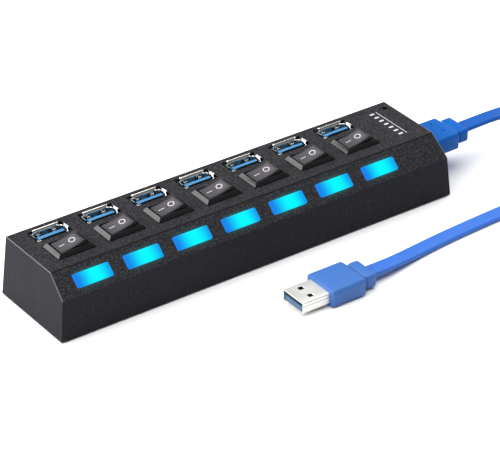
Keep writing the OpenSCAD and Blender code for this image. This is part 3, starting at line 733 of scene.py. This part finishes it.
def lead_piece():
    """The flat lead: its outlines lofted along the smooth route, and a map whose u is the way round
    the section and v the length along it. Gives the piece, the path and the length in metres."""
    route = smooth_route(LEAD_ROUTE, 8)
    path, twist = route[:, :3], route[:, 3]
    skin = Skin()
    rings = flat_sections(path, twist)
    skin.loft(rings)
    piece = skin.make("lead", LOOKS["lead_blue"], 60.0)
    length = np.concatenate([[0], np.cumsum(np.linalg.norm(np.diff(path, axis=0), axis=1))])
    cols = rings.shape[1]
    round_by = np.linspace(0, 2 * (LEAD_W + LEAD_T), cols, endpoint=False)
    u = np.concatenate([np.tile(round_by, len(path)), [0, 0]])
    v = np.concatenate([np.repeat(length, cols), [0, length[-1]]])
    corner = np.empty(len(piece.data.loops), np.int32)
    piece.data.loops.foreach_get("vertex_index", corner)
    sheath = piece.data.uv_layers.new(name="sheath")
    sheath.data.foreach_set("uv", (np.stack([u, v], 1)[corner] * MM).astype(np.float32).ravel())
    return piece, path * MM, float(length[-1]) * MM


def moulding_sections(x, width, height, radius, centre, lean=None):
    """Outlines of a moulding along X, each a rounded rectangle in Y and Z about the centre."""
    outline = rounded_outline(width, height, radius, 6)
    rings = np.empty(outline.shape[:2] + (3,))
    rings[..., 0] = np.asarray(x)[:, None]
    rings[..., 1] = outline[..., 0] + centre[1]
    rings[..., 2] = outline[..., 1] + centre[2]
    if lean is not None:
        rings[..., 0] += lean[:, None] * (rings[..., 2] - centre[2])
    rings[..., 0] += centre[0]
    return rings


def moulding_profile():
    """Half-sizes along a moulding from its face. The face's edge is a quarter of an ellipse, the
    shoulder falls by a smooth step to a waist, and a collar with rounded ends runs into a neck.
    Rows: x, width, height, corner radius."""
    edge_x, edge_in = 0.6, 1.2
    turn = np.linspace(0.0, math.pi / 2, 6)
    inset = edge_in * (1 - np.sin(turn))
    corner = np.full(6, MOULD_CORNER)
    face = np.stack([edge_x * (1 - np.cos(turn)), MOULD_W - inset, MOULD_T - inset, corner], 1)
    body = np.array([[4.0, MOULD_W, MOULD_T, MOULD_CORNER], [9.0, MOULD_W, MOULD_T, MOULD_CORNER],
                     [MOULD_SHOULDER, MOULD_W, MOULD_T, MOULD_CORNER]])
    run, fall_w, fall_t, fall_corner = 2.1, 4.9, 2.0, 0.4
    t = np.linspace(0.12, 1.0, 8)
    fall = smooth_step(t)
    shoulder = np.stack([MOULD_SHOULDER + run * t, MOULD_W - fall_w * fall, MOULD_T - fall_t * fall,
                         MOULD_CORNER - fall_corner * fall], 1)
    collar = np.array([[16.8, 11.2, 5.25, 1.1], [17.0, 11.7, 5.45, 1.1], [17.4, 12.0, 5.6, 1.1],
                       [20.4, 12.0, 5.6, 1.1], [20.8, 11.8, 5.45, 1.1], [21.08, 11.3, 5.0, 1.0],
                       [MOULD_L + NECK_L, 10.4, 4.2, 0.9]])
    return np.vstack([face, body, shoulder, collar])


def hub_moulding():
    """The grip at the hub: a flange and a waist inside, then the outer moulding, whose face leans as
    the end wall does and comes upright by a smooth step, with two sink pits in its top."""
    wall_x = BODY_L / 2 - END_LEAN * (GRIP_Z - BASE_Z)
    flange_l, flange, waist, upright_by = 2.6, [14.8, 8.2, 1.2], [11.8, 5.2, 1.2], 4.0
    inner = np.array([[GRIP_INNER_X - flange_l, *flange], [GRIP_INNER_X, *flange],
                      [GRIP_INNER_X + 0.02, *waist], [wall_x - 0.03, *waist]])
    inner[:, 0] -= wall_x
    profile = np.vstack([inner, moulding_profile()])
    upright = smooth_step(profile[:, 0] / upright_by)
    lean = np.where(profile[:, 0] < -0.5, 0.0, -END_LEAN * (1 - upright))
    skin = Skin()
    skin.loft(moulding_sections(*profile.T, (wall_x, 0.0, GRIP_Z), lean))
    piece = skin.make("hub_moulding", LOOKS["moulding_blue"], 50.0)
    pit_places, pit_sides = ((97.0, 4.2), (97.6, -2.5)), 20
    pit_z = GRIP_Z + MOULD_T / 2 + np.array([-0.55, -0.45, 0.4])
    pit_r = np.array([0.30, 0.42, 0.52])
    angle = np.linspace(0, 2 * np.pi, pit_sides, endpoint=False)
    cutter = Skin()
    for x, y in pit_places:
        cutter.loft(np.stack([x + pit_r[:, None] * np.cos(angle), y + pit_r[:, None] * np.sin(angle),
                              np.repeat(pit_z, pit_sides).reshape(3, pit_sides)], -1))
    pits = cutter.make("pits", LOOKS["moulding_blue"])
    cut = piece.modifiers.new("pits", "BOOLEAN")
    cut.operation, cut.object, cut.solver = "DIFFERENCE", pits, "EXACT"
    evaluated = piece.evaluated_get(bpy.context.evaluated_depsgraph_get())
    finished = bpy.data.meshes.new_from_object(evaluated)
    piece.modifiers.clear()
    piece.data = finished
    bpy.data.objects.remove(pits)
    piece.data.shade_smooth()
    piece.data.set_sharp_from_angle(angle=math.radians(50))
    return piece


def plug_moulding():
    """The plug's grip: a recess round the metal shell, then the same outer moulding."""
    recess_size, recess_from, recess_to = [12.1, 4.6, 0.62], 0.7, 0.05
    recess = np.array([[recess_from, *recess_size], [recess_to, *recess_size]])
    profile = np.vstack([recess, moulding_profile()])
    skin = Skin()
    skin.loft(moulding_sections(*profile.T, (PLUG_FRONT_X, PLUG_Y, PLUG_Z)))
    # Painted light: the plug's grip takes plug_blue, a lighter copy of the hub grip's blue
    return skin.make("plug_grip", LOOKS["plug_blue"], 50.0)


lead, lead_path, lead_length = lead_piece()
settle(lead, "lead_blue", "cable")
grip_at_hub = settle(hub_moulding(), "moulding_blue", "cable_grip")
grip_at_plug = settle(plug_moulding(), "moulding_blue", "plug_moulding")
plug_metal = settle(bevelled_copy("plug_shell", "plug_metal", LOOKS["plug_steel"], 0.1),
                    "socket_steel", "plug_shell")
tuple(lead_path[0])


# ---- Housing and base -----------------------------------------------------------------------------
# Each finished copy's node, name, material (also its slot) and edge radius
EDGED = [("bottom_cover", "hub_base", "cover_black", 0.2),
         ("rubber_feet", "hub_feet", "foot_rubber", 0.3),
         ("cover_screws", "base_screws", "screw_steel", 0.12),
         ("dc_jack", "power_inlet", "jack_black", 0.15)]

settle(bevelled_copy("top_shell", "hub_housing", LOOKS["housing_black"], 0.28, 3),
       "housing_black", "top_shell")
for node, name, look, radius in EDGED:
    settle(bevelled_copy(node, name, LOOKS[look], radius), look, node)


def printed_marks():
    """Printing beside the last port: seven short bars, one for each port, and a thin line. Each is a
    flat pad with rounded corners, a hair above the top face."""
    ink = np.array([0.0, 0.018, 0.022])
    shrink = np.array([0.0, 0.0, 0.012])
    bar_x, first_y, step_y = 75.2, 13.6, 2.95
    # Each pad: the middle's x and y, its sizes along X and Y, and its corner radius
    pads = [(bar_x, first_y - step_y * k, 2.0, 1.0, 0.25) for k in range(len(PORTS))]
    pads.append((77.5, 4.75, 0.3, 19.2, 0.12))
    skin = Skin()
    for x, y, length, width, corner in pads:
        outline = rounded_outline(length - 2 * shrink, width - 2 * shrink, corner, 3)
        rings = np.empty(outline.shape[:2] + (3,))
        rings[..., 0], rings[..., 1] = outline[..., 0] + x, outline[..., 1] + y
        rings[..., 2] = BODY_H + ink[:, None]
        skin.loft(rings)
    return skin.make("printed_bars", LOOKS["mark_white"])


settle(printed_marks(), None)


# ---- Light windows --------------------------------------------------------------------------------
def on_slope(points, i):
    """From a light window's own axes, along, up the slope and out of it, to the hub's axes."""
    x, y, z = points[..., 0], points[..., 1] - LENS_DROP, points[..., 2]
    c, s = math.cos(SLOPE_ANGLE), math.sin(SLOPE_ANGLE)
    return np.stack([x + port_x(i), SLOPE_TOP_Y + c * y - s * z, BODY_H + s * y + c * z], -1)


def light_window(i):
    """A window through the slope: a flange behind the wall, a straight side, a rim rounded by a
    quarter circle and a slightly crowned face, as rounded rectangles stacked out of the slope."""
    flange_z, flange_top, flange_wider = -3.0, -2.0, 0.5
    side_top, rim_rise, rim_in, corner, least_corner = 0.05, 0.15, 0.30, 0.7, 0.15
    edge = np.linspace(0, math.pi / 2, 4)
    out = np.concatenate([[flange_z, flange_top, flange_top + 0.01], side_top + rim_rise * np.sin(edge),
                          [0.215, 0.22]])
    shrink = np.concatenate([[-flange_wider, -flange_wider, 0.0], rim_in * (1 - np.cos(edge)),
                             [1.4, 3.2]])
    outline = rounded_outline(LENS_L - shrink, LENS_W - shrink,
                              np.maximum(corner - shrink / 4, least_corner), 4)
    rings = np.concatenate([outline, np.repeat(out, outline.shape[1]).reshape(len(out), -1, 1)], -1)
    skin = Skin()
    skin.loft(on_slope(rings, i))
    return skin.make(f"light_window_{i}", LOOKS["window_glow"], 50.0)


for i in PORTS:
    settle(light_window(i), "window_glow", f"led_lens_{i}")


# ---- Receptacles ----------------------------------------------------------------------------------
def socket_grid():
    """One receptacle's sheet as a grid: columns round its rounded outline, rows up the tube and then
    up the flared lips, which lean out by the flare times t^1.6. Cells between lips and in the spring
    slots are left out."""
    lip_curve, key_half, near_flat = 1.6, 0.6, 1e-6
    half_x, half_y = PORT_L / 2 - PORT_CORNER, PORT_W / 2 - PORT_CORNER
    slot_edges = [s * SPRING_X + e * SPRING_SLOT / 2 for s in (-1, 1) for e in (-1, 1)]
    xs = np.array(sorted({-half_x, half_x, -LONG_LIP / 2, LONG_LIP / 2, 0.0, *slot_edges}))
    ys = np.array([-half_y, -SHORT_LIP / 2, -key_half, key_half, SHORT_LIP / 2, half_y])
    turn = np.linspace(0, math.pi / 2, 6)[1:-1]
    arc = np.stack([np.cos(turn), np.sin(turn)], 1) * PORT_CORNER
    # The four straight sides and, before each, the corner turned a further quarter
    sides = [np.stack([xs[::-1], np.full(len(xs), PORT_W / 2)], 1),
             np.stack([np.full(len(ys), -PORT_L / 2), ys[::-1]], 1),
             np.stack([xs, np.full(len(xs), -PORT_W / 2)], 1)]
    rounds = []
    for k, (sx, sy) in enumerate(((1, 1), (-1, 1), (-1, -1), (1, -1))):
        c, s = math.cos(k * math.pi / 2), math.sin(k * math.pi / 2)
        rounds.append(np.array((sx * half_x, sy * half_y)) + arc @ np.array([[c, s], [-s, c]]))
    outline = np.vstack([np.stack([np.full(len(ys), PORT_L / 2), ys], 1), rounds[0], sides[0],
                         rounds[1], sides[1], rounds[2], sides[2], rounds[3]])
    normal = np.zeros_like(outline)
    flat_x = np.isclose(np.abs(outline[:, 0]), PORT_L / 2)
    flat_y = np.isclose(np.abs(outline[:, 1]), PORT_W / 2)
    normal[flat_x, 0] = np.sign(outline[flat_x, 0])
    normal[flat_y, 1] = np.sign(outline[flat_y, 1])
    tube = np.array([BOARD_TOP, SPRING_ROOT, TUBE_TOP - 3.0, SLOT_TOP, TUBE_TOP])
    t = np.linspace(0, 1, 6)[1:]
    z = np.concatenate([tube, TUBE_TOP + LIP_H * t])
    lean = np.concatenate([np.zeros(len(tube)), LIP_FLARE * t ** lip_curve])
    grid = np.empty((len(z), len(outline), 3))
    grid[..., :2] = outline[None] + lean[:, None, None] * normal[None]
    grid[..., 2] = z[:, None]
    after = np.roll(outline, -1, 0)
    middle = (outline + after) / 2
    straight = np.abs(after - outline).min(1) < near_flat
    from_x, from_y = np.abs(middle).T
    on_long_side = from_y > PORT_W / 2 - near_flat
    in_lip = straight & np.where(on_long_side, from_x < LONG_LIP / 2, from_y < SHORT_LIP / 2)
    keep = np.ones((len(z) - 1, len(outline)), bool)
    keep[len(tube) - 1:] = in_lip
    in_slot = on_long_side & (middle[:, 1] > 0) & (np.abs(from_x - SPRING_X) < SPRING_SLOT / 2)
    keep[1:3] &= ~in_slot
    return grid, keep


def spring_sheet(side):
    """A sprung finger: a strip that bows in from the far wall by the sine of pi t^1.9 and turns back
    at its tip, with one column at each edge and one in the middle."""
    reach, bow, turns_back, curve = 5.9, 0.85, 0.93, 1.9
    t = np.linspace(0, 1, 14)
    inwards = bow * np.sin(np.pi * np.clip(t, 0, turns_back) ** curve) * (t > 0)
    strip = np.empty((len(t), 3, 3))
    strip[..., 0] = side * SPRING_X + np.array([-1, 0, 1]) * SPRING_W / 2
    strip[..., 1] = (PORT_W / 2 - inwards)[:, None]
    strip[..., 2] = (SPRING_ROOT + reach * t)[:, None]
    return strip


SOCKET_GRID, SOCKET_CELLS = socket_grid()


def socket_shell(i):
    """One receptacle's sheet and its two sprung fingers. Grid points that no cell uses are dropped,
    and the cells are counted afresh over those that stay."""
    skin = Skin()
    move = np.array([port_x(i), PORT_Y, 0.0])
    rows, cols = SOCKET_GRID.shape[:2]
    cells = grid_quads(rows, cols, wrap=True, keep=SOCKET_CELLS)
    used, counted = np.unique(cells, return_inverse=True)
    skin.add((SOCKET_GRID + move).reshape(-1, 3)[used], counted.reshape(-1, 4))
    for side in (-1, 1):
        strip = spring_sheet(side) + move
        skin.add(strip, grid_quads(*strip.shape[:2])[:, ::-1])
    return thicken(skin.make(f"socket_shell_{i}", LOOKS["socket_steel"], 40.0), PORT_METAL, -1.0)


for i in PORTS:
    settle(socket_shell(i), "socket_steel", f"port_shell_{i}")
    settle(bevelled_copy(f"port_core_{i}", f"socket_tongue_{i}", LOOKS["tongue_blue"], 0.16),
           "tongue_blue", f"port_core_{i}")


# ---- Switches -------------------------------------------------------------------------------------
def rocker_top(x):
    """Height of the rocker's dished top over its pivot: an arc through the two raised ends."""
    radius = (TOP_HALF ** 2 + DISH ** 2) / (2 * DISH)
    return TOP_RISE - DISH + radius - np.sqrt(radius ** 2 - np.asarray(x, float) ** 2)


def rocker_to_hub(points, i):
    """Tilts points about the pivot, so the end towards +X is up, and moves them to switch i."""
    a = math.radians(ROCKER_TILT)
    x, y, z = points[..., 0], points[..., 1], points[..., 2]
    return np.stack([port_x(i) + x * math.cos(a) - z * math.sin(a), SWITCH_Y + y,
                     PIVOT_Z + x * math.sin(a) + z * math.cos(a)], -1)


def rocker_outline():
    """Side view of the rocker about its pivot, anticlockwise: the dished top, then down each flank to
    the foot that works the contacts, every corner softened by its own cut."""
    x = np.linspace(TOP_HALF, -TOP_HALF, 15)
    top = np.stack([x, rocker_top(x)], 1)
    right = np.array([[5.95, 0.3], [5.95, -0.4], [2.6, -2.4], [1.5, -5.2]])
    left = right * (-1, 1)
    cut = np.array([0.3, 0.3, 0.6, 0.4])
    cut = np.concatenate([[0.45], np.full(13, 0.3), [0.45], cut, cut[::-1]])
    return softened(np.vstack([top, left, right[::-1]]), cut, 4)


ROCKER = rocker_outline()


def rocker_piece(i):
    """The rocker: its side outline carried across its width, drawn in by a quarter circle at both
    faces, and two round pins. Its painted sheen on the top ends a little short of its edges."""
    edge, pin_sides = 0.28, 24
    a = np.linspace(math.pi / 2, 0, 5)
    half = np.concatenate([-ROCKER_W / 2 + edge * (1 - np.sin(a)), [-3.2, -2.8, -2.3, -1.0]])
    y = np.concatenate([half, -half[::-1]])
    inset = np.concatenate([edge * (1 - np.cos(a)), np.zeros(4)])
    inset = np.concatenate([inset, inset[::-1]])
    flat = ROCKER[None] - inset[:, None, None] * outline_normals(ROCKER)[None]
    rings = np.stack([flat[..., 0], np.repeat(y, len(ROCKER)).reshape(len(y), -1), flat[..., 1]], -1)
    skin = Skin()
    skin.loft(rocker_to_hub(rings, i))
    turn = np.linspace(0, 2 * np.pi, pin_sides, endpoint=False)
    pin_y = np.array([-4.52, -4.42, 4.42, 4.52])
    pin_r = np.array([0.8, 0.9, 0.9, 0.8])
    pins = np.stack([pin_r[:, None] * np.cos(turn), np.repeat(pin_y, pin_sides).reshape(4, pin_sides),
                     pin_r[:, None] * np.sin(turn)], -1)
    skin.loft(rocker_to_hub(pins, i))
    piece = skin.make(f"switch_rocker_{i}", LOOKS["rocker_grey"], 40.0)
    # Painted sheen where a point is near the top, within its length, and within a width that narrows to
    # +X
    sheen_deep, sheen_x, sheen_half, sheen_y, narrows = 0.7, -0.2, 4.0, 3.25, 0.09
    x, across, up = rings[..., 0], np.abs(rings[..., 1]), rings[..., 2]
    on_top = smooth_step((up - rocker_top(np.clip(x, -5, 5)) + sheen_deep) / 0.4)
    on_top *= 1 - smooth_step((np.abs(x - sheen_x) - sheen_half) / 0.6)
    on_top *= smooth_step((sheen_y - narrows * x - across) / 0.5)
    top = np.zeros(len(piece.data.vertices), np.float32)
    top[:on_top.size] = on_top.ravel()
    piece.data.attributes.new("top", "FLOAT", "POINT").data.foreach_set("value", top)
    return piece


def rocker_marks(i):
    """A ring at the raised end and a bar at the lowered end, laid on the dished top: strips whose
    height is the top's height plus a hair."""
    hair, ink, ring_sides = 0.012, 0.03, 40
    ring_x, ring_r, longer, wider = 1.75, np.array([0.80, 1.13]), 1.12, 1.25
    bar_from, bar_to, bar_half = -3.75, -1.35, 0.18
    skin = Skin()
    turn = np.linspace(0, 2 * np.pi, ring_sides, endpoint=False)
    ring = np.empty((2, ring_sides, 3))
    ring[..., 0] = ring_x + ring_r[:, None] * np.cos(turn) * longer
    ring[..., 1] = ring_r[:, None] * np.sin(turn) * wider
    ring[..., 2] = rocker_top(ring[..., 0]) + hair
    skin.add(rocker_to_hub(ring, i), grid_quads(2, ring_sides, wrap=True))
    bar = np.empty((2, 9, 3))
    bar[..., 0] = np.linspace(bar_from, bar_to, 9)[None]
    bar[..., 1] = np.array([-bar_half, bar_half])[:, None]
    bar[..., 2] = rocker_top(bar[..., 0]) + hair
    skin.add(rocker_to_hub(bar, i), grid_quads(2, 9))
    return thicken(skin.make(f"rocker_marks_{i}", LOOKS["mark_white"]), ink, 0.0)


for i in PORTS:
    settle(bevelled_copy(f"switch_body_{i}", f"switch_bezel_{i}", LOOKS["switch_black"], 0.16),
           "switch_black", f"switch_body_{i}")
    settle(rocker_piece(i), "rocker_grey", f"rocker_{i}", body=f"rocker_{i}")
    settle(rocker_marks(i), None, body=f"rocker_{i}")


# ---- Table and light ------------------------------------------------------------------------------
TABLE_HALF, TABLE_WHITE, SKY_STRENGTH = 6.0, 0.88, 0.25
# Each light: where it stands and what it is aimed at, in metres, its width and its power
LIGHTS = {
    "softbox": ((-0.2, 0.3, 2.2), (0.0, 0.0, 0.0), 3.4, 98.0),
    "left": ((-1.8, 0.1, 0.75), (0.0, 0.0, 0.0), 1.2, 26.0),
    "rim": ((-1.2, 1.3, 0.68), (0.0, 0.0, 0.0), 1.1, 26.0),
    "fill": ((1.5, 0.5, 0.6), (0.1, 0.0, 0.0), 1.4, 8.0),
}


def add_table():
    """A plain pale table, flat at z = 0."""
    mesh = bpy.data.meshes.new("table")
    corners = [(x * TABLE_HALF, y * TABLE_HALF, 0) for x, y in ((-1, -1), (1, -1), (1, 1), (-1, 1))]
    mesh.from_pydata(corners, [], [(0, 1, 2, 3)])
    table = bpy.data.objects.new("table", mesh)
    bpy.context.scene.collection.objects.link(table)
    material, _, shader, _ = start_material("table_white")
    shader.inputs["Base Color"].default_value = (TABLE_WHITE, TABLE_WHITE, TABLE_WHITE, 1)
    shader.inputs["Roughness"].default_value = 0.9
    shader.inputs["Specular IOR Level"].default_value = 0.1
    mesh.materials.append(material)


def add_light(name, place, aim, size, power):
    data = bpy.data.lights.new(name, "AREA")
    data.shape, data.size, data.energy = "DISK", size, power
    light = bpy.data.objects.new(name, data)
    light.location = place
    light.rotation_mode = "QUATERNION"
    light.rotation_quaternion = (Vector(aim) - Vector(place)).to_track_quat("-Z", "Y")
    bpy.context.scene.collection.objects.link(light)


def add_sky():
    world = bpy.data.worlds.new("studio")
    world.use_nodes = True
    background = world.node_tree.nodes["Background"]
    background.inputs["Color"].default_value = (1, 1, 1, 1)
    background.inputs["Strength"].default_value = SKY_STRENGTH
    bpy.context.scene.world = world
    bpy.context.scene.view_settings.view_transform = "Standard"


add_table()
add_sky()
for name, light in LIGHTS.items():
    add_light(name, *light)
